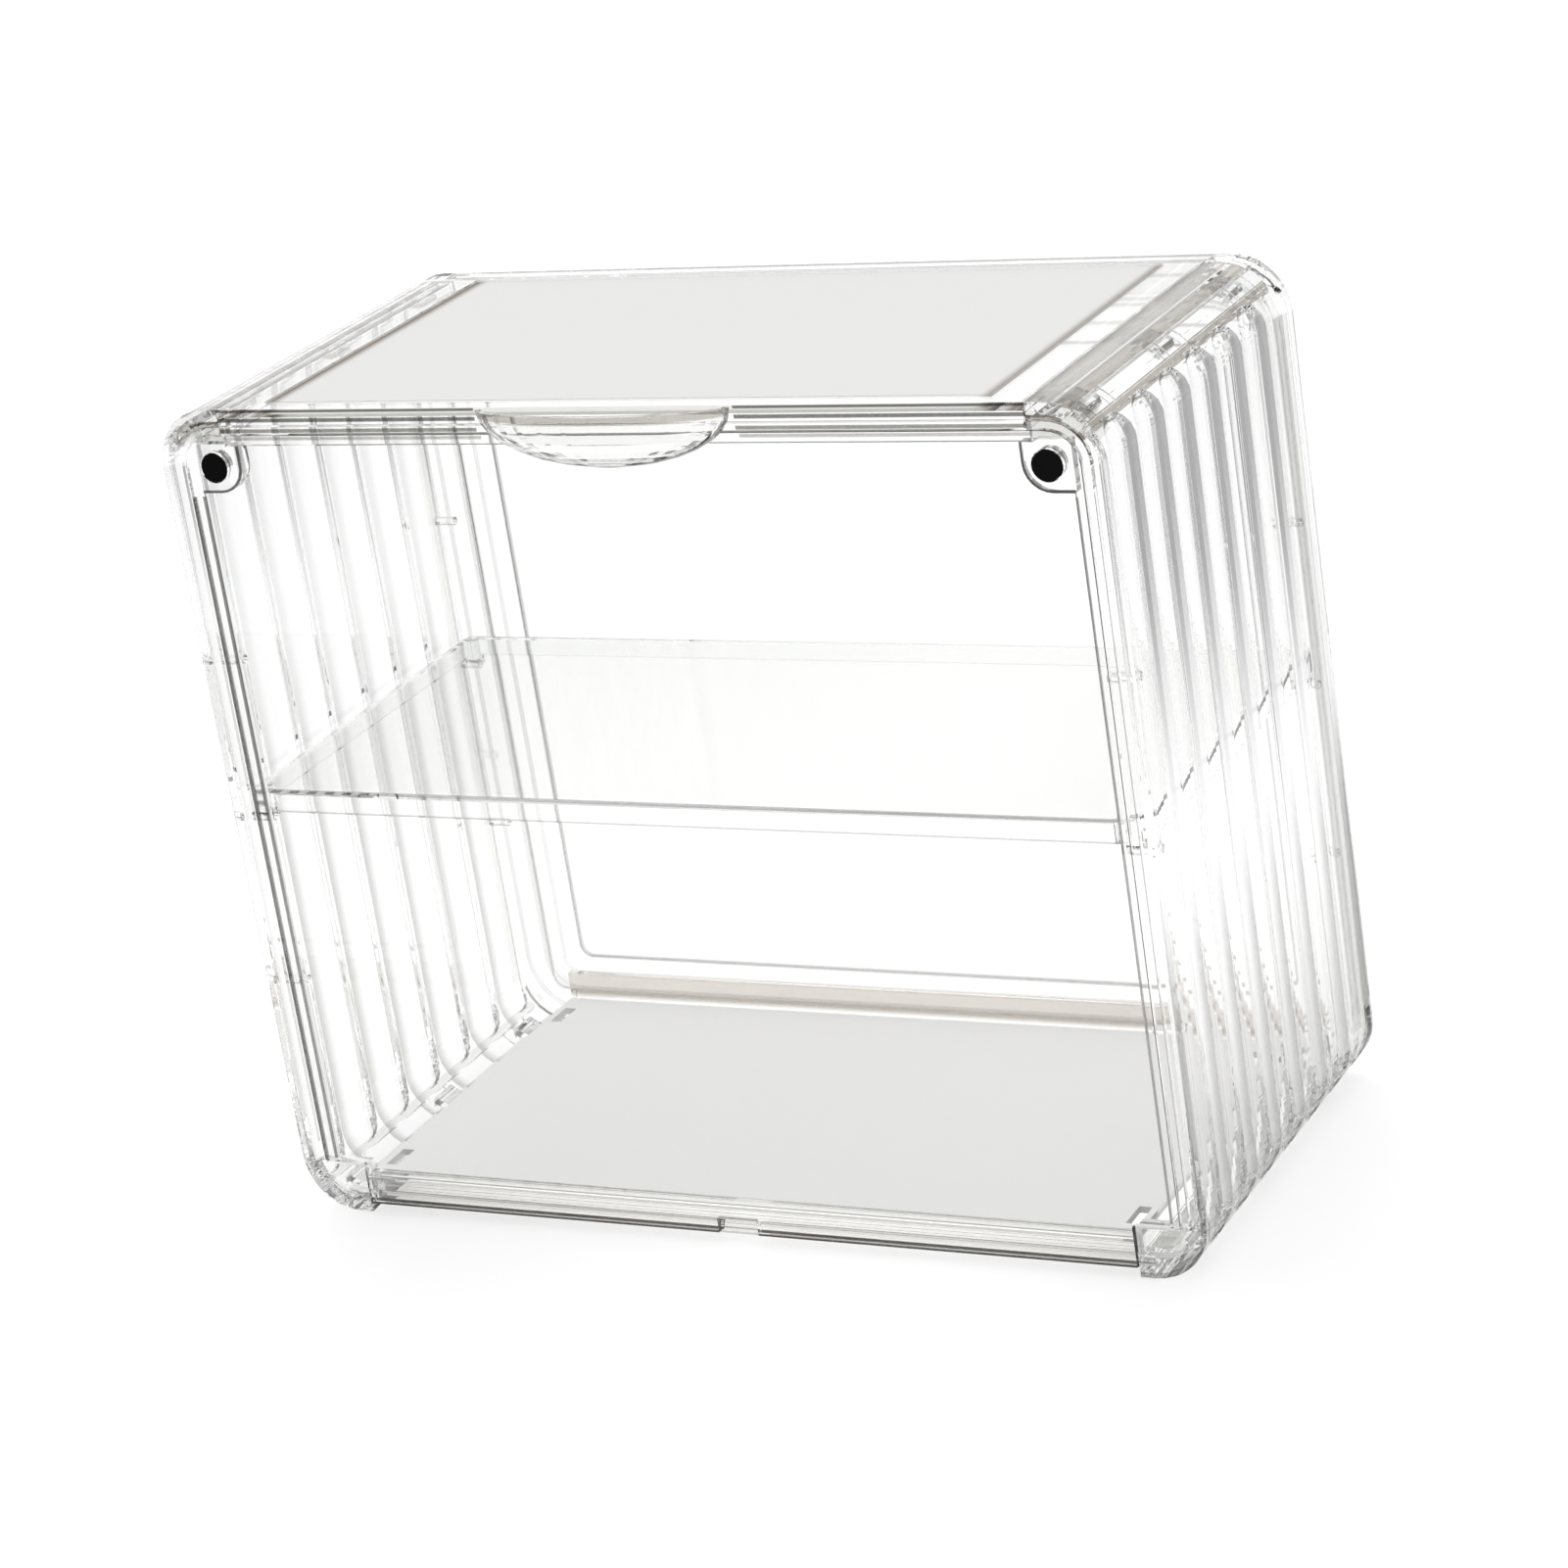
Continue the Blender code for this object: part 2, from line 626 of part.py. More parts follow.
def shelf_feet():
    """Feet under the four corners, each with a saddle that sits over its peg."""
    saddle = PEG_RADIUS + GAP
    level = MIDDLE_PEG_HEIGHT
    top = SHELF_TOP - SHELF_THICK + SINK
    outer = SHELF_HALF_WIDTH - FOOT_FROM_EDGE
    feet = []
    for side in (1, -1):
        edges = sorted((side * outer, side * (outer - FOOT_WIDTH)))
        for back in (PEG_BACK, DEPTH - REAR_PEG_FROM_REAR):
            middle = y_at(back)
            turn = math.pi / ARC_STEPS
            notch = [(middle - saddle * math.cos(turn * k), level + saddle * math.sin(turn * k))
                     for k in range(ARC_STEPS + 1)]
            edge = min(FOOT_LENGTH / 2, shelf_reach(back) - SINK)
            outline = [(middle - edge, top), (middle - edge, level)]
            outline += notch
            outline += [(middle + edge, level), (middle + edge, top)]
            feet.append(prism(outline, "X", edges[0], edges[1]))
    return feet


def shelf():
    """The clear shelf: a sheet with a skirt round it, on four feet."""
    skirt_foot = SHELF_TOP - SHELF_SKIRT_HEIGHT
    body = prism(shelf_outline(0), "Z", skirt_foot, SHELF_TOP)
    hollow = prism(shelf_outline(SHELF_SKIRT_THICK), "Z", skirt_foot - OVERRUN, SHELF_TOP - SHELF_THICK)
    combine(body, [hollow], "DIFFERENCE")
    combine(body, shelf_feet(), "UNION")
    return finish(body, "shelf", CLEAR_TINT)


def magnet(name, side, back, thick):
    """A round magnet in one top corner, its face to the front."""
    centre = (side * MAGNET_X, MAGNET_Z)
    return finish(rod("Y", y_at(back), y_at(back + thick), centre, MAGNET_RADIUS), name, MAGNET_TINT)


# Door

def half_lens(half_width, reach, drop):
    """The lower front quarter of an ellipsoid, as a closed solid at the pull's place."""
    top = Vector((0, y_at(PULL_ROOT), HEIGHT - PULL_BELOW_TOP))
    bm = bmesh.new()
    bmesh.ops.create_uvsphere(bm, u_segments=PULL_SEGMENTS, v_segments=PULL_RINGS, radius=1)
    size = Matrix.Diagonal((half_width, reach, drop, 1))
    bmesh.ops.transform(bm, matrix=Matrix.Translation(top) @ size, verts=bm.verts)
    return bm, top


def cut_flat(bm, point, normal):
    """Cut away what lies past a plane and close the cut."""
    every = bm.verts[:] + bm.edges[:] + bm.faces[:]
    cut = bmesh.ops.bisect_plane(bm, geom=every, plane_co=point, plane_no=normal, clear_outer=True)
    edges = [part for part in cut["geom_cut"] if isinstance(part, bmesh.types.BMEdge)]
    bmesh.ops.edgeloop_fill(bm, edges=edges)


def pull():
    """Half-moon finger pull: a scoop that is open above."""
    reach = PULL_REACH + PULL_ROOT
    bm, top = half_lens(PULL_HALF_WIDTH, reach, PULL_DROP)
    cut_flat(bm, top, Vector((0, 1, 0)))
    cut_flat(bm, top, Vector((0, 0, 1)))
    body = object_from(bm)
    hollow, top = half_lens(PULL_HALF_WIDTH - PULL_WALL, reach - PULL_WALL, PULL_DROP - PULL_WALL)
    clearance = box((-PULL_HALF_WIDTH, y_at(-GAP), door_top() - SINK),
                    (PULL_HALF_WIDTH, y_at(PULL_ROOT + OVERRUN), HEIGHT + OVERRUN))
    return combine(body, [object_from(hollow), clearance], "DIFFERENCE")


def door_top():
    """Height of the door's top edge, just under the frame's face."""
    return HEIGHT - FRAME_FACE - GAP


def door_outline():
    """Door outline (x, z): wide between the posts, narrow between the corner blocks."""
    wide = WIDTH / 2 - FRAME_FACE - GAP
    narrow = SEAM_X - HINGE_SLACK
    shoulder = BLOCK_HEIGHT + DOOR_SHOULDER_CLEARANCE
    top_radius = CORNER_RADIUS - FRAME_FACE - GAP
    half = [(narrow, DOOR_FOOT, 0), (narrow, shoulder, DOOR_CORNER_RADIUS),
            (wide, shoulder, DOOR_CORNER_RADIUS), (wide, door_top(), top_radius)]
    other = [(-x, z, radius) for x, z, radius in reversed(half)]
    return rounded(half + other)


def front_door():
    """Clear door with its hinge barrel, pins, magnet holes and pull."""
    body = prism(door_outline(), "Y", y_at(0), y_at(DOOR_THICK))
    axis = (y_at(AXIS_BACK), AXIS_HEIGHT)
    barrel_end = SEAM_X - HINGE_SLACK
    pin_end = SEAM_X + PIN_LENGTH
    barrel = rod("X", -barrel_end + SINK, barrel_end - SINK, axis, BARREL_RADIUS, PEG_SEGMENTS)
    pins = rod("X", -pin_end, pin_end, axis, PIN_RADIUS, PEG_SEGMENTS)
    combine(body, [barrel], "UNION")
    gate = box((-GATE_WIDTH / 2, y_at(-OVERRUN), 0),
               (GATE_WIDTH / 2, y_at(AXIS_BACK + BARREL_RADIUS + OVERRUN), GATE_HEIGHT))
    holes = [rod("Y", y_at(-OVERRUN), y_at(DOOR_THICK + OVERRUN), (side * MAGNET_X, MAGNET_Z),
                 MAGNET_RADIUS + GAP) for side in (1, -1)]
    combine(body, [gate] + holes, "DIFFERENCE")
    combine(body, [pins, pull()], "UNION")
    return finish(body, "front_door", CLEAR_TINT)


# Materials and assembly

def own_material(name, tint):
    """Principled material of one piece."""
    material = bpy.data.materials.new(name + "_finish")
    material.use_nodes = True
    shader = material.node_tree.nodes["Principled BSDF"]
    shader.inputs["Base Color"].default_value = tint
    clear = tint != MAGNET_TINT
    shader.inputs["Roughness"].default_value = 0.05 if clear else 0.45
    shader.inputs["Metallic"].default_value = 0.0
    shader.inputs["IOR"].default_value = 1.49
    shader.inputs["Transmission Weight"].default_value = 1.0 if clear else 0.0
    return material


def finish(item, name, tint):
    """Name a piece, give it its material and shade its round faces smooth."""
    item.name = name
    item.data.name = name
    item.data.materials.clear()
    item.data.materials.append(own_material(name, tint))
    item.data.shade_smooth()
    item.data.set_sharp_from_angle(angle=SMOOTH_ANGLE)
    return item


def hang_on(joint_name, place, items):
    """Put items under an empty on their joint's axis, without moving them."""
    empty = bpy.data.objects.new(joint_name, None)
    bpy.context.scene.collection.objects.link(empty)
    empty.location = place
    for item in items:
        item.data.transform(Matrix.Translation(-Vector(place)))
        item.parent = empty


def main():
    """Build the case."""
    for item in list(bpy.data.objects):
        bpy.data.objects.remove(item)
    side_panel("side_panel_right", 1)
    side_panel("side_panel_left", -1)
    top_panel()
    bottom_panel()
    back_panel()
    magnet_inset = (DOOR_THICK - DOOR_MAGNET_THICK) / 2
    door_pieces = [front_door()]
    for word, side in (("right", 1), ("left", -1)):
        magnet("case_magnet_" + word, side, BOSS_BACK, CASE_MAGNET_THICK)
        door_pieces.append(magnet("door_magnet_" + word, side, magnet_inset, DOOR_MAGNET_THICK))
    hang_on("door_hinge", (0, y_at(AXIS_BACK), AXIS_HEIGHT), door_pieces)
    hang_on("shelf_lift", (0, 0, SHELF_TOP), [shelf()])


main()
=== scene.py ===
"""Looks of the clear display case: materials, studio and camera.

Lengths are metres in the frame of the CAD model: +X right, -Y front, +Z up, and the
case stands on z = 0. Refraction draws fine dark lines in the photograph of the case.
Tints on small stretches of the clear plastic stand for them here.
"""

import math

import bpy
from mathutils import Matrix, Vector


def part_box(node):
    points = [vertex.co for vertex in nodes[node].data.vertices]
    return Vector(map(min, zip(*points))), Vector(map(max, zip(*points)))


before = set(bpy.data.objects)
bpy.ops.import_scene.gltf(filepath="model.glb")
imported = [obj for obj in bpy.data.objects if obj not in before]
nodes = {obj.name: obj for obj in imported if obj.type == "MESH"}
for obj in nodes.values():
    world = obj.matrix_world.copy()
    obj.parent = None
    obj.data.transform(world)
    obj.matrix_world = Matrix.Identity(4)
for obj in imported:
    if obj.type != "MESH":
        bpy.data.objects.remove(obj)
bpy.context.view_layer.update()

# Planes of the case, as the right side panel sets them
ARM_REACH = 0.025
panel_low, panel_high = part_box("side_panel_right")
FACE = panel_low[1]
REAR = panel_high[1]
OUTER = panel_high[0]
SEAM = OUTER - ARM_REACH
TOP = panel_high[2]
MIDDLE = (panel_low[2] + TOP) / 2

# Softness of a tinted stretch's edge, and how far the stretch runs past a face
EDGE_BLUR = 0.0002
ANGLE_BLUR = 0.01
OVERRUN = 0.0002

# Start of a span that crosses the middle of the case
CENTRE = -OVERRUN

# Clear plastic
CLEAR_TINT = (0.985, 0.988, 0.985)
SHADOW_TINT = (0.97, 0.97, 0.97)
PLASTIC_IOR = 1.49
CLEAR_ROUGHNESS = (0.006, 0.03)
HAZE_SCALE = 22.0
HAZE_DETAIL = 4.0
HAZE_SPAN = (0.35, 0.75)
WAVE_SCALE = 28.0
WAVE_DETAIL = 1.0
WAVE_HEIGHT = 0.00002
FROST_ROUGHNESS = 0.55

# Lid: frosted field, with painted shade along its sides
LID_FIELD_MARGIN = 0.0142
LID_FIELD_FRONT = 0.008
LID_FIELD_REAR = 0.010
LID_FIELD_DEPTH = 0.0034
LID_GREY = (0.64, 0.638, 0.628)
EDGE_SHADE_WIDTH = 0.0055
EDGE_SHADE_BROWN = (0.20, 0.168, 0.137)

# Lid: light strips beside the field, in from the seam
STRIP_SPANS = ((0.0006, 0.0058), (0.0074, 0.0136))
STRIP_DEPTH = 0.0005
STRIP_GREY = (0.80, 0.80, 0.785)

# Lid: lines on its front rail, with start and end below the top, depth and tint
RAIL_LINES = (
    (0.0002, 0.0012, 0.0010, (0.04, 0.04, 0.038)),
    (0.0031, 0.0045, 0.0010, (0.04, 0.04, 0.038)),
    (0.0067, 0.0081, 0.0010, (0.10, 0.092, 0.08)),
    (0.0100, 0.0112, 0.0034, (0.30, 0.275, 0.25)),
)
PULL_HALF_WIDTH = 0.0465

# Floor: frosted field, rim at its rear, sill and front wall
FLOOR_FIELD_MARGIN = 0.0002
FLOOR_FIELD_REAR = 0.0085
FLOOR_FIELD_LOW = 0.0112
FLOOR_FIELD_HIGH = 0.0145
FLOOR_GREY = (0.715, 0.710, 0.700)
RIM_BROWN = (0.66, 0.62, 0.58)
SILL_DEPTH = 0.004
SILL_LOW = 0.0114
SILL_GREY = (0.94, 0.935, 0.925)
WALL_DEPTH = 0.008
WALL_GREY = (0.69, 0.685, 0.665)

# Floor: mould slots, in from the seam and behind the front face
SLOT_FROM_SEAM = (0.0024, 0.0076)
SLOT_BACKS = ((0.0102, 0.0228), (0.1303, 0.1429))
SLOT_TOP = 0.0139
SLOT_BROWN = (0.36, 0.33, 0.29)

# Shelf: faintly grey plate and darker lines along its edges
SHELF_SKIRT = 0.0025
SHELF_PLATE = 0.0024
SHELF_TINT = (0.875, 0.877, 0.865)
SHELF_LINE = 0.0010
SHELF_SKIRT_FOOT = 0.0042
SHELF_FRONT_GREY = (0.25, 0.25, 0.245)
SHELF_REAR_GREY = (0.60, 0.60, 0.59)

# Door: line along its foot, painted shade on its pull with a brown band on top, and dark left edge
DOOR_FOOT_LINE = 0.0012
FOOT_BROWN = (0.015, 0.012, 0.009)
PULL_START = 0.0006
PULL_SHADE_GREY = (0.90, 0.895, 0.885)
PULL_BAND = 0.0026
PULL_BAND_DEPTH = 0.0030
PULL_BROWN = (0.52, 0.50, 0.465)
DOOR_EDGE_WIDTH = 0.0009
DOOR_EDGE_GREY = (0.14, 0.138, 0.135)

# Side panels: lines along the posts, with distances in from the skin and behind the face
POST_LINES = (((0.0082, 0.0092), (0.0008, 0.0031)), ((0.0120, 0.0134), (0.0024, 0.0036)))
POST_LOW = 0.019
POST_HIGH = 0.2625
POST_GREYS = {"side_panel_left": (0.05, 0.049, 0.047), "side_panel_right": (0.12, 0.118, 0.115)}

# Side panels: outline of the pad round the magnet
PAD_RADIUS = 0.0094
PAD_LINE_WIDTH = 0.0010
PAD_DEPTH = 0.0037
PAD_REACH = 0.0072
PAD_BLACK = (0.012, 0.012, 0.012)

# Side panels: grey upper arms, and a shade in front of the rear edge
ARM_HEIGHT = 0.012
ARM_DEPTH = 0.011
ARM_GREY = (0.68, 0.675, 0.655)
REAR_SHADE_FROM_REAR = (0.0045, 0.0135)
REAR_SHADE_INSET = 0.0040
REAR_GREYS = {"side_panel_left": (0.82, 0.82, 0.81), "side_panel_right": (0.62, 0.62, 0.61)}

# Side panels: shade beside each flute's edge on the outer skin, strongest low down
FLUTE_COUNT = 7
EDGE_BAND = 0.0012
FLUTE_SKIN = 0.0019
FLUTE_SHADE_SHARE = 0.30
FLUTE_GREY = (0.34, 0.34, 0.335)
SHADE_LOW = {"side_panel_left": 0.12, "side_panel_right": 0.09}
SHADE_HIGH = {"side_panel_left": 0.20, "side_panel_right": 0.15}
SHADE_ABOVE = {"side_panel_left": 0.45, "side_panel_right": 0.0}

# Side panels: shade at the foot of the right wall
FOOT_SHADES = {"side_panel_left": 0.0, "side_panel_right": 1.0}
FOOT_SHADE_TOP = 0.11
FOOT_GREY = (0.60, 0.60, 0.58)

# Side panels: rails inside the rounded corners
CORNER_RADIUS = 0.020
RAIL_INSETS = (0.0040, 0.0052)
RAIL_ANGLES = ((-0.1, 0.43), (0.845, 1.02))
RAIL_BROWN = (0.20, 0.17, 0.135)
RAIL_PALE = (0.72, 0.71, 0.69)

# Back panel: line round its pressed field, measured in from the panel's box
LINE_FROM_SIDE = 0.0283
LINE_FROM_END = 0.0271
LINE_RADIUS = 0.005
LINE_WIDTH = 0.0010
LINE_GREY = (0.42, 0.42, 0.415)

# Back panel: lines round its edge, at distances from a common centre near each corner
CORNER_LINE_CENTRE = 0.026
CORNER_LINE_REACHES = (0.0057, 0.0118, 0.0137, 0.0217)
CORNER_LINE_GREY = (0.60, 0.60, 0.59)

# Magnets
MAGNET_BLACK = (0.002, 0.002, 0.0022)
MAGNET_ROUGHNESS = (0.32, 0.45)
MAGNET_SPECULAR = 0.08
WEAR_SCALE = 900.0
WEAR_DETAIL = 4.0
WEAR_SPAN = (0.4, 0.7)
WEAR_HEIGHT = 0.00003

# Room: bright walls along the axis, darker sides and a dark ceiling
AXIS = Vector((-0.488, 0.873, 0.0)).normalized()
ACROSS = Vector((AXIS.y, -AXIS.x, 0.0))
UPWARD = Vector((0.0, 0.0, 1.0))
WALL_TONE = 1.05
SIDE_TONE = 0.36
SIDE_SPAN = (0.25, 0.95)
CEILING_TONE = 0.22
CEILING_SPAN = (0.35, 0.6)

# Floor sheet: bright band under the case, with painted shade beside it, pale near and dark far
SHEET_HALF_SIZE = 20.0
SHEET_HEIGHT = -0.0005
FLOOR_BRIGHT = 0.95
FLOOR_PALE_SHADE = 0.85
FLOOR_DARK_SHADE = 0.31
PALE_SPAN = (0.02, 0.17)
DARK_SPAN = (0.35, 0.70)
VIEW_SPREAD = 0.17

# Lamp
LAMP_ENERGY = 3.4
LAMP_SPREAD = math.radians(50)
LAMP_TURN = (math.radians(-20), math.radians(-12), 0.0)

# Camera, solved from the case's edges
CAMERA_PLACE = Vector((0.7055, -1.2586, 0.6634))
CAMERA_RIGHT = Vector((0.88842, 0.43508, -0.14634))
CAMERA_UP = Vector((-0.02958, 0.37240, 0.92760))
CAMERA_AHEAD = Vector((-0.45808, 0.81977, -0.34372))
CAMERA_LENS = 104.32
CAMERA_SENSOR = 36.0
CAMERA_CLIP = (0.05, 100.0)

# Light bounces
BOUNCES = 40


class Graph:
    """Node tree of a material or a world, with a short call for each node that the looks use."""

    def __init__(self, tree):
        self.nodes = tree.nodes
        self.links = tree.links

    def feed(self, node, name, value):
        """Give an input a constant or link it."""
        if hasattr(value, "links"):
            self.links.new(value, node.inputs[name])
        else:
            node.inputs[name].default_value = value

    def math(self, operation, first, second=0.0, third=0.0):
        """Result of a sum."""
        node = self.nodes.new("ShaderNodeMath")
        node.operation = operation
        for place, value in enumerate((first, second, third)):
            self.feed(node, place, value)
        return node.outputs[0]

    def step(self, value, low, high, start=0.0, end=1.0):
        """Smooth step of a value from low to high, mapped to start..end."""
        node = self.nodes.new("ShaderNodeMapRange")
        node.interpolation_type = "SMOOTHSTEP"
        self.feed(node, "Value", value)
        self.feed(node, "From Min", low)
        self.feed(node, "From Max", high)
        self.feed(node, "To Min", start)
        self.feed(node, "To Max", end)
        return node.outputs["Result"]

    def mix(self, share, first, second):
        """Blend of two colours."""
        node = self.nodes.new("ShaderNodeMix")
        node.data_type = "RGBA"
        self.feed(node, "Factor", share)
        ends = [item for item in node.inputs if item.type == "RGBA"]
        for end, value in zip(ends, (first, second)):
            if hasattr(value, "links"):
                self.links.new(value, end)
            else:
                end.default_value = (*value, 1.0)
        return next(item for item in node.outputs if item.type == "RGBA")

    def place(self, kind="Object"):
        """Coordinates of the piece itself, or of the world."""
        return self.nodes.new("ShaderNodeTexCoord").outputs[kind]

    def position(self):
        """Separate x, y and z of the piece's own coordinates."""
        split = self.nodes.new("ShaderNodeSeparateXYZ")
        self.links.new(self.place(), split.inputs[0])
        return split.outputs["X"], split.outputs["Y"], split.outputs["Z"]

    def along(self, vector, direction):
        """Length of a vector along a direction."""
        node = self.nodes.new("ShaderNodeVectorMath")
        node.operation = "DOT_PRODUCT"
        self.links.new(vector, node.inputs[0])
        node.inputs[1].default_value = direction
        return node.outputs["Value"]

    def noise(self, scale, detail):
        """Noise in the piece's own coordinates."""
        node = self.nodes.new("ShaderNodeTexNoise")
        self.links.new(self.place(), node.inputs["Vector"])
        node.inputs["Scale"].default_value = scale
        node.inputs["Detail"].default_value = detail
        return node.outputs["Fac"]

    def bump(self, height, distance):
        """Normal bent by a height."""
        node = self.nodes.new("ShaderNodeBump")
        self.links.new(height, node.inputs["Height"])
        node.inputs["Distance"].default_value = distance
        return node.outputs["Normal"]


# Masks and distances

def within(graph, value, low, high, blur=EDGE_BLUR):
    """Mask that is 1 between low and high."""
    rises = graph.step(value, low - blur, low + blur)
    falls = graph.step(value, high - blur, high + blur, 1.0, 0.0)
    return graph.math("MULTIPLY", rises, falls)


def inside(graph, spans):
    """Mask that is 1 inside a box, given by its spans, and inside its mirror image on the left."""
    x, y, z = graph.position()
    share = 1.0
    for value, (low, high) in zip((graph.math("ABSOLUTE", x), y, z), spans):
        share = graph.math("MULTIPLY", share, within(graph, value, low, high))
    return share


def beyond(graph, value, limit):
    """How far a value lies beyond a limit, or 0."""
    return graph.math("MAXIMUM", graph.math("SUBTRACT", value, limit), 0.0)


def diagonal(graph, first, second):
    """Length of the diagonal of two distances."""
    squares = graph.math("MULTIPLY", first, first)
    return graph.math("SQRT", graph.math("MULTIPLY_ADD", second, second, squares))


def painted(graph, marks):
    """Clear colour with tinted boxes, each given by its spans along x, y and z and its tint."""
    colour = CLEAR_TINT
    for *spans, tint in marks:
        colour = graph.mix(inside(graph, spans), colour, tint)
    return colour


# Plain materials

def new_material(name):
    """Material, its graph and its shader."""
    material = bpy.data.materials.new(name)
    material.use_nodes = True
    return material, Graph(material.node_tree), material.node_tree.nodes["Principled BSDF"]


def plastic(name):
    """Clear moulded plastic with a faint haze from hands, which lets lamp light through."""
    material, graph, shader = new_material(name)
    shader.inputs["IOR"].default_value = PLASTIC_IOR
    shader.inputs["Transmission Weight"].default_value = 1.0
    haze = graph.noise(HAZE_SCALE, HAZE_DETAIL)
    graph.feed(shader, "Roughness", graph.step(haze, *HAZE_SPAN, *CLEAR_ROUGHNESS))
    graph.feed(shader, "Normal", graph.bump(graph.noise(WAVE_SCALE, WAVE_DETAIL), WAVE_HEIGHT))
    through = graph.nodes.new("ShaderNodeBsdfTransparent")
    through.inputs["Color"].default_value = (*SHADOW_TINT, 1.0)
    blend = graph.nodes.new("ShaderNodeMixShader")
    shadow_ray = graph.nodes.new("ShaderNodeLightPath").outputs["Is Shadow Ray"]
    for place, source in enumerate((shadow_ray, shader.outputs[0], through.outputs[0])):
        graph.links.new(source, blend.inputs[place])
    graph.links.new(blend.outputs[0], graph.nodes["Material Output"].inputs["Surface"])
    return material, graph, shader


def frosted(name, marks, field, grey, side_shade=None):
    """Clear panel with tinted boxes and a frosted field, which may take painted shade at its sides.
    """
    material, graph, shader = plastic(name)
    share = inside(graph, field)
    # Painted shade darkens the frosted field towards its sides
    if side_shade:
        side = field[0][1]
        x = graph.math("ABSOLUTE", graph.position()[0])
        grey = graph.mix(graph.step(x, side - EDGE_SHADE_WIDTH, side), grey, side_shade)
    graph.feed(shader, "Base Color", graph.mix(share, painted(graph, marks), grey))
    polished = shader.inputs["Roughness"].links[0].from_socket
    rougher = graph.math("SUBTRACT", FROST_ROUGHNESS, polished)
    graph.feed(shader, "Roughness", graph.math("MULTIPLY_ADD", rougher, share, polished))
    graph.feed(shader, "Transmission Weight", graph.math("SUBTRACT", 1.0, share))
    return material


def magnet_look(name):
    """Black coated magnet with fine wear on its coating."""
    material, graph, shader = new_material(name + "_black")
    wear = graph.noise(WEAR_SCALE, WEAR_DETAIL)
    shader.inputs["Base Color"].default_value = (*MAGNET_BLACK, 1.0)
    shader.inputs["Specular IOR Level"].default_value = MAGNET_SPECULAR
    graph.feed(shader, "Roughness", graph.step(wear, *WEAR_SPAN, *MAGNET_ROUGHNESS))
    graph.feed(shader, "Normal", graph.bump(wear, WEAR_HEIGHT))
    return material


# Lid, floor, shelf, door and back panel

def lid_look():
    """Lid with its frosted field, painted shade along the field's sides, the light strips beside
    the field and the lines on its front rail.
    """
    low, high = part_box("top_panel")
    above = high[2] + OVERRUN
    marks = []
    for start, end in STRIP_SPANS:
        marks.append(((SEAM - end, SEAM - start), (low[1], high[1]),
                      (high[2] - STRIP_DEPTH, above), STRIP_GREY))
    for start, end, depth, tint in RAIL_LINES:
        marks.append(((PULL_HALF_WIDTH, SEAM), (low[1] - OVERRUN, low[1] + depth),
                      (high[2] - end, high[2] - start), tint))
    field = ((CENTRE, SEAM - LID_FIELD_MARGIN),
             (low[1] + LID_FIELD_FRONT, high[1] - LID_FIELD_REAR),
             (high[2] - LID_FIELD_DEPTH, high[2]))
    return frosted("lid", marks, field, LID_GREY, EDGE_SHADE_BROWN)


def floor_look():
    """Floor with its frosted field, tinted rim, sill and front wall, and the brown mould slots."""
    low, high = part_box("bottom_panel")
    wide = (CENTRE, SEAM)
    below = low[2] - OVERRUN
    field_rear = high[1] - FLOOR_FIELD_REAR
    sill_rear = low[1] + SILL_DEPTH
    marks = [(wide, (field_rear, high[1]), (FLOOR_FIELD_HIGH, high[2] + OVERRUN), RIM_BROWN),
             (wide, (low[1], sill_rear), (SILL_LOW, FLOOR_FIELD_HIGH), SILL_GREY),
             (wide, (low[1], low[1] + WALL_DEPTH), (below, SILL_LOW), WALL_GREY)]
    near, far = SLOT_FROM_SEAM
    for start, end in SLOT_BACKS:
        marks.append(((SEAM - far, SEAM - near), (FACE + start, FACE + end),
                      (below, SLOT_TOP), SLOT_BROWN))
    field = ((CENTRE, SEAM - FLOOR_FIELD_MARGIN), (sill_rear, field_rear),
             (FLOOR_FIELD_LOW, FLOOR_FIELD_HIGH))
    return frosted("floor_panel", marks, field, FLOOR_GREY)


def shelf_look():
    """Clear tray whose plate is faintly grey, with lines along its edges."""
    low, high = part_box("shelf")
    wide = (CENTRE, high[0])
    above = high[2] + OVERRUN
    front = (low[1] - OVERRUN, low[1] + SHELF_LINE)
    marks = [
        ((CENTRE, high[0] - SHELF_SKIRT), (low[1] + SHELF_SKIRT, high[1] - SHELF_SKIRT),
         (high[2] - SHELF_PLATE, above), SHELF_TINT),
        (wide, front, (high[2] - SHELF_LINE, above), SHELF_FRONT_GREY),
        (wide, (high[1] - SHELF_LINE, high[1] + OVERRUN),
         (high[2] - SHELF_LINE, above), SHELF_REAR_GREY),
        (wide, front, (low[2], low[2] + SHELF_SKIRT_FOOT), SHELF_REAR_GREY),
    ]
    material, graph, shader = plastic("shelf_clear")
    graph.feed(shader, "Base Color", painted(graph, marks))
    return material


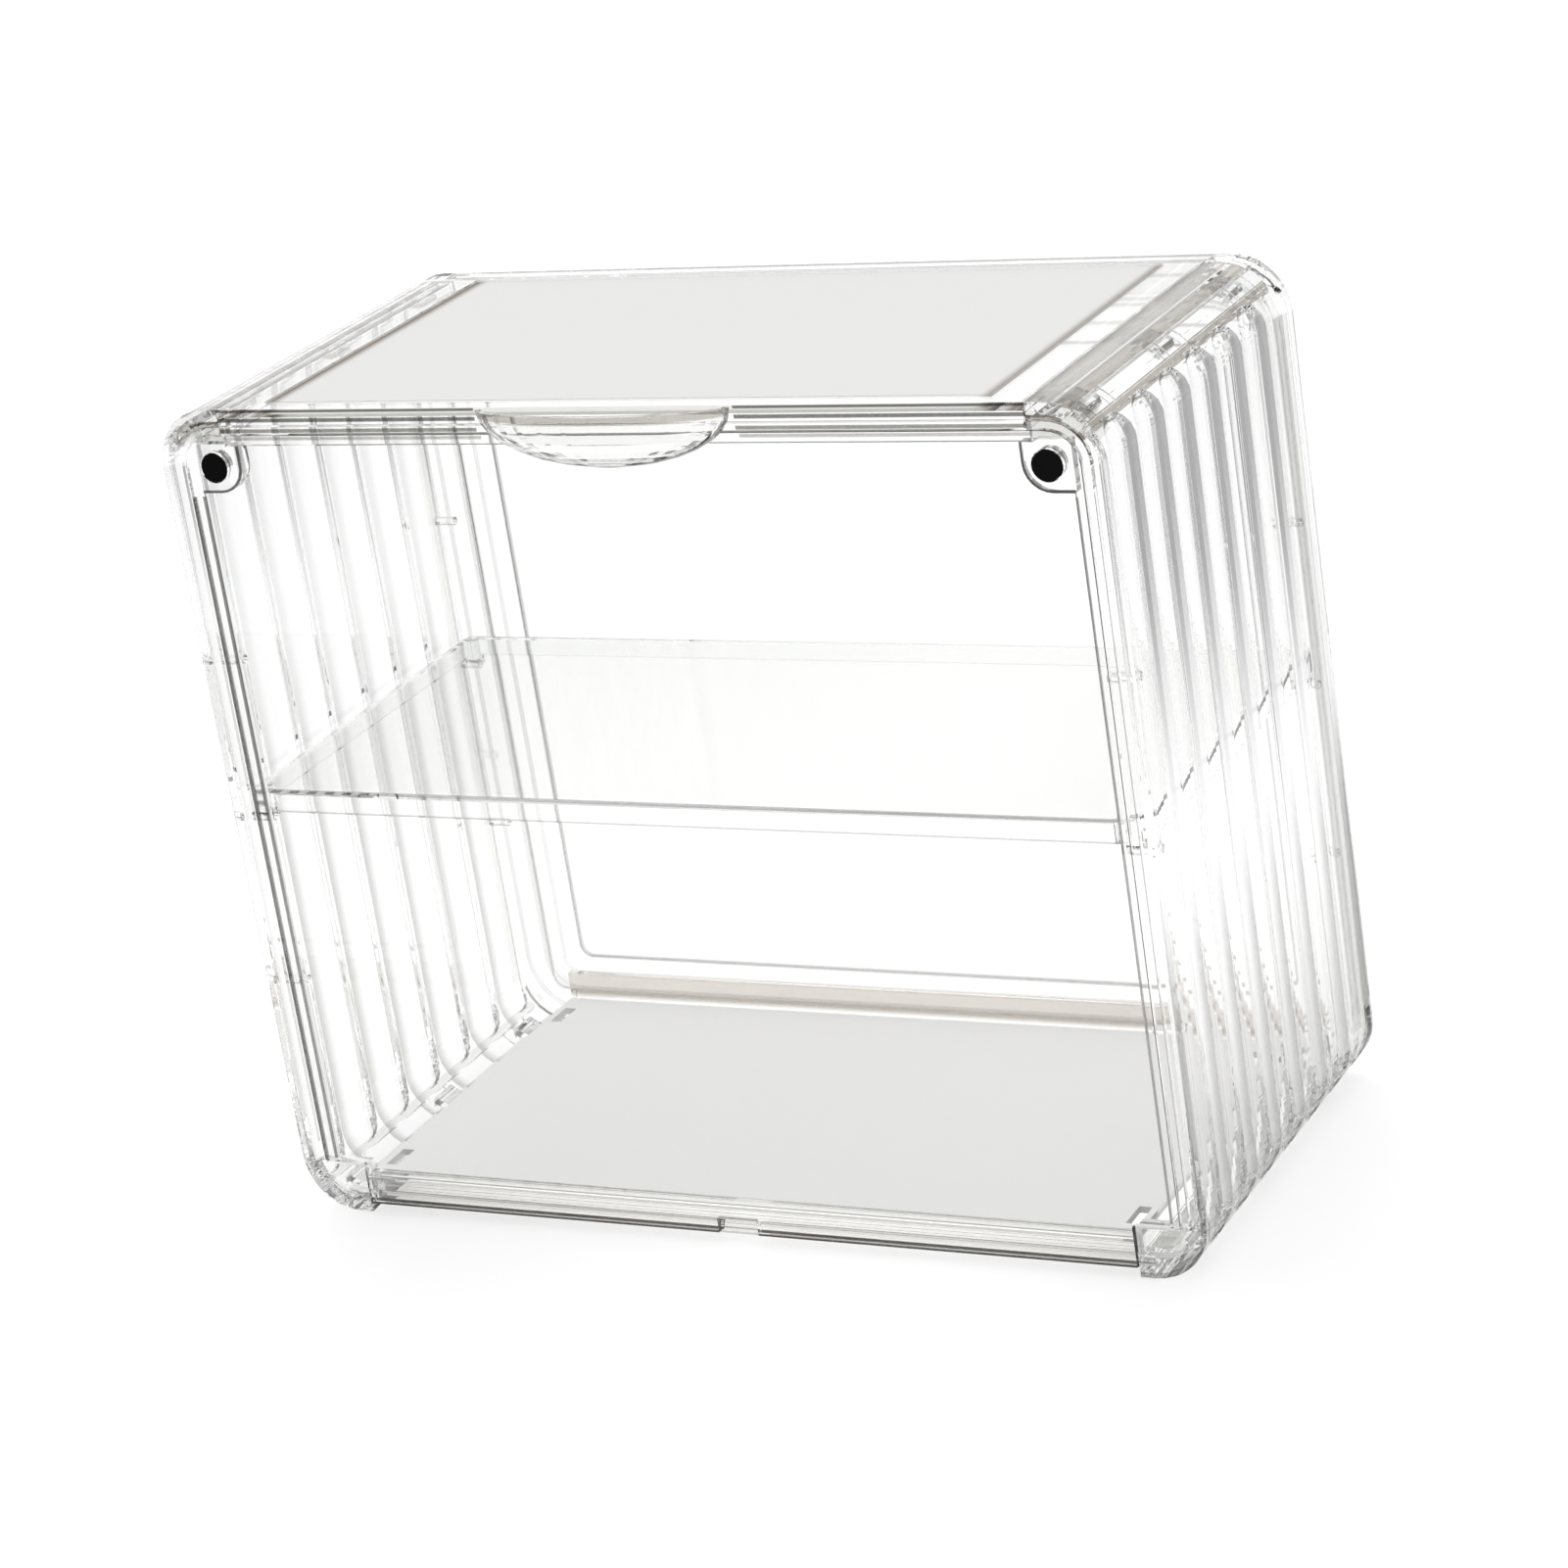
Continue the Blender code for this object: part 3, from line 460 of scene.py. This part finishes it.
def door_look():
    """Clear door with dark lines along its foot and left edge, and painted grey shade over its
    pull.
    """
    low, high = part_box("front_door")
    above = high[2] + OVERRUN
    pull = (CENTRE, PULL_HALF_WIDTH)
    pull_front = low[1] - OVERRUN
    marks = [
        ((CENTRE, high[0]), (low[1], high[1]),
         (low[2] - OVERRUN, low[2] + DOOR_FOOT_LINE), FOOT_BROWN),
        # Painted grey shade over the clear pull, and a brown band along the pull's top
        (pull, (pull_front, FACE - PULL_START), (low[2], above), PULL_SHADE_GREY),
        (pull, (pull_front, FACE + PULL_BAND_DEPTH), (high[2] - PULL_BAND, above), PULL_BROWN),
    ]
    edges = ((high[0] - DOOR_EDGE_WIDTH, high[0] + OVERRUN), (FACE - OVERRUN, high[1]),
             (POST_LOW, POST_HIGH))
    material, graph, shader = plastic("front_door_clear")
    left_half = graph.step(graph.position()[0], -EDGE_BLUR, EDGE_BLUR, 1.0, 0.0)
    share = graph.math("MULTIPLY", left_half, inside(graph, edges))
    graph.feed(shader, "Base Color", graph.mix(share, painted(graph, marks), DOOR_EDGE_GREY))
    return material


def back_look():
    """Clear back panel with fine dark lines round its pressed field and along its edge."""
    low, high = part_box("back_panel")
    middle = (low[2] + high[2]) / 2
    material, graph, shader = plastic("back_clear")
    x, _, z = graph.position()
    across = graph.math("ABSOLUTE", x)
    up = graph.math("ABSOLUTE", graph.math("SUBTRACT", z, middle))
    field = (LINE_FROM_SIDE + LINE_RADIUS, LINE_FROM_END + LINE_RADIUS, LINE_GREY, (LINE_RADIUS,))
    edge = (CORNER_LINE_CENTRE, CORNER_LINE_CENTRE, CORNER_LINE_GREY, CORNER_LINE_REACHES)
    colour = CLEAR_TINT
    for from_side, from_end, tint, reaches in (field, edge):
        distance = diagonal(graph, beyond(graph, across, high[0] - from_side),
                            beyond(graph, up, high[2] - middle - from_end))
        for reach in reaches:
            share = within(graph, distance, reach - LINE_WIDTH / 2, reach + LINE_WIDTH / 2)
            colour = graph.mix(share, colour, tint)
    graph.feed(shader, "Base Color", colour)
    return material


# Side panels

def skin_place(graph):
    """Distance in from the outer skin, and angle round the rounded corners."""
    x, _, z = graph.position()
    across = beyond(graph, graph.math("ABSOLUTE", x), OUTER - CORNER_RADIUS)
    up = graph.math("ABSOLUTE", graph.math("SUBTRACT", z, MIDDLE))
    up = graph.math("SUBTRACT", up, TOP - MIDDLE - CORNER_RADIUS)
    reach = diagonal(graph, across, graph.math("MAXIMUM", up, 0.0))
    return graph.math("SUBTRACT", CORNER_RADIUS, reach), graph.math("ARCTAN2", across, up)


def rail_share(graph, inset, angle):
    """Mask of the rails inside the rounded corners."""
    share = 0.0
    for start, end in RAIL_ANGLES:
        share = graph.math("ADD", share, within(graph, angle, start, end, ANGLE_BLUR))
    return graph.math("MULTIPLY", share, within(graph, inset, *RAIL_INSETS))


def flute_share(graph, node, skin):
    """Mask of the shade beside each flute's edge on the outer skin."""
    _, y, z = graph.position()
    pitch = (REAR - FACE - 2 * EDGE_BAND) / FLUTE_COUNT
    travel = graph.math("SUBTRACT", y, FACE + EDGE_BAND)
    travel = graph.math("FRACT", graph.math("DIVIDE", travel, pitch))
    if node == "side_panel_left":
        shade = graph.step(travel, 0.0, FLUTE_SHADE_SHARE, 1.0, 0.0)
    else:
        shade = graph.step(travel, 1.0 - FLUTE_SHADE_SHARE, 1.0)
    strength = graph.step(z, SHADE_LOW[node], SHADE_HIGH[node], 1.0, SHADE_ABOVE[node])
    return graph.math("MULTIPLY", graph.math("MULTIPLY", shade, strength), skin)


def pad_share(graph):
    """Mask of the outline of the pad round the magnet."""
    x, y, z = graph.position()
    across = graph.math("ABSOLUTE", x)
    centre = OUTER - CORNER_RADIUS
    distance = diagonal(graph, beyond(graph, centre, across), beyond(graph, TOP - CORNER_RADIUS, z))
    ring = within(graph, distance, PAD_RADIUS - PAD_LINE_WIDTH, PAD_RADIUS + OVERRUN)
    near = within(graph, y, FACE, FACE + PAD_DEPTH)
    reach = centre + PAD_REACH
    inner = graph.step(across, reach, reach + EDGE_BLUR, 1.0, 0.0)
    return graph.math("MULTIPLY", ring, graph.math("MULTIPLY", near, inner))


def side_panel_marks(node):
    """Tinted boxes of a side panel: upper arm, shade near the rear edge and post lines."""
    near, far = REAR_SHADE_FROM_REAR
    marks = [
        ((SEAM, OUTER), (FACE - OVERRUN, FACE + ARM_DEPTH),
         (TOP - ARM_HEIGHT, TOP + OVERRUN), ARM_GREY),
        ((OUTER - REAR_SHADE_INSET, OUTER), (REAR - far, REAR - near),
         (POST_LOW, TOP - POST_LOW), REAR_GREYS[node]),
    ]
    for (start, end), (near, far) in POST_LINES:
        marks.append(((OUTER - end, OUTER - start), (FACE + near, FACE + far),
                      (POST_LOW, POST_HIGH), POST_GREYS[node]))
    return marks


def side_panel_look(node):
    """Clear side panel with its rails, flute edges, pad outline and post lines tinted."""
    material, graph, shader = plastic(node + "_clear")
    z = graph.position()[2]
    inset, angle = skin_place(graph)
    skin = within(graph, inset, -FLUTE_SKIN, FLUTE_SKIN)
    upper = graph.step(z, MIDDLE - EDGE_BLUR, MIDDLE + EDGE_BLUR)
    foot = graph.math("MULTIPLY", graph.step(z, 0.0, FOOT_SHADE_TOP, FOOT_SHADES[node], 0.0), skin)
    shades = [(rail_share(graph, inset, angle), graph.mix(upper, RAIL_PALE, RAIL_BROWN)),
              (foot, FOOT_GREY),
              (flute_share(graph, node, skin), FLUTE_GREY),
              (pad_share(graph), PAD_BLACK)]
    colour = painted(graph, side_panel_marks(node))
    for share, tint in shades:
        colour = graph.mix(share, colour, tint)
    graph.feed(shader, "Base Color", colour)
    return material


def look_of(name):
    """Material of a node."""
    if "magnet" in name:
        return magnet_look(name)
    if name.startswith("side_panel"):
        return side_panel_look(name)
    return {"top_panel": lid_look, "bottom_panel": floor_look, "shelf": shelf_look,
            "front_door": door_look, "back_panel": back_look}[name]()


def dress():
    """Give every node its material."""
    for name, item in nodes.items():
        material = look_of(name)
        item.data.materials.clear()
        item.data.materials.append(material)


# Studio

def sky():
    """A room with a bright wall at each end of the set, darker sides and a dark ceiling."""
    world = bpy.data.worlds.new("studio")
    bpy.context.scene.world = world
    world.use_nodes = True
    graph = Graph(world.node_tree)
    where = graph.place("Generated")
    side = graph.math("ABSOLUTE", graph.along(where, ACROSS))
    tone = graph.step(side, *SIDE_SPAN, WALL_TONE, SIDE_TONE)
    level = graph.step(graph.along(where, UPWARD), *CEILING_SPAN)
    to_ceiling = graph.math("SUBTRACT", CEILING_TONE, tone)
    tone = graph.math("MULTIPLY_ADD", to_ceiling, level, tone)
    graph.feed(graph.nodes["Background"], "Color", tone)


def floor():
    """A pale sheet that is brightest in a band under the case and runs off softly into painted
    shade beside it.
    """
    near, far = -SHEET_HALF_SIZE, SHEET_HALF_SIZE
    corners = [(near, near), (far, near), (far, far), (near, far)]
    mesh = bpy.data.meshes.new("floor")
    mesh.from_pydata([(x, y, SHEET_HEIGHT) for x, y in corners], [], [(0, 1, 2, 3)])
    item = bpy.data.objects.new("floor", mesh)
    bpy.context.scene.collection.objects.link(item)
    material, graph, shader = new_material("floor_white")
    where = graph.place()
    side = graph.math("ABSOLUTE", graph.along(where, ACROSS))
    behind = graph.math("MAXIMUM", graph.along(where, AXIS), 0.0)
    beside = graph.math("SUBTRACT", side, graph.math("MULTIPLY", behind, VIEW_SPREAD))
    # Painted shade beside the bright band: pale near it, dark far from it
    pale = graph.step(beside, *PALE_SPAN, FLOOR_BRIGHT, FLOOR_PALE_SHADE)
    graph.feed(shader, "Base Color", graph.step(beside, *DARK_SPAN, pale, FLOOR_DARK_SHADE))
    shader.inputs["Roughness"].default_value = 1.0
    shader.inputs["Specular IOR Level"].default_value = 0.0
    mesh.materials.append(material)


def lamp():
    """A broad soft lamp overhead that shows neither in reflections nor through the plastic."""
    data = bpy.data.lights.new("softbox", "SUN")
    data.angle = LAMP_SPREAD
    data.energy = LAMP_ENERGY
    item = bpy.data.objects.new("softbox", data)
    item.rotation_euler = LAMP_TURN
    item.visible_glossy = False
    item.visible_transmission = False
    bpy.context.scene.collection.objects.link(item)


def camera():
    """Camera at the photograph's place and angle."""
    data = bpy.data.cameras.new("camera")
    data.sensor_width = CAMERA_SENSOR
    data.lens = CAMERA_LENS
    data.clip_start, data.clip_end = CAMERA_CLIP
    item = bpy.data.objects.new("camera", data)
    turn = Matrix((CAMERA_RIGHT, CAMERA_UP, -CAMERA_AHEAD)).transposed().to_4x4()
    item.matrix_world = Matrix.Translation(CAMERA_PLACE) @ turn
    bpy.context.scene.collection.objects.link(item)
    bpy.context.scene.camera = item


def render_settings():
    """Plain view transform, and enough bounces for many sheets of clear plastic."""
    scene = bpy.context.scene
    scene.view_settings.view_transform = "Standard"
    scene.view_settings.look = "None"
    scene.view_settings.exposure = 0.0
    scene.cycles.max_bounces = BOUNCES
    scene.cycles.transmission_bounces = BOUNCES
    scene.cycles.transparent_max_bounces = BOUNCES
    scene.cycles.glossy_bounces = BOUNCES


render_settings()
dress()
sky()
floor()
lamp()
camera()
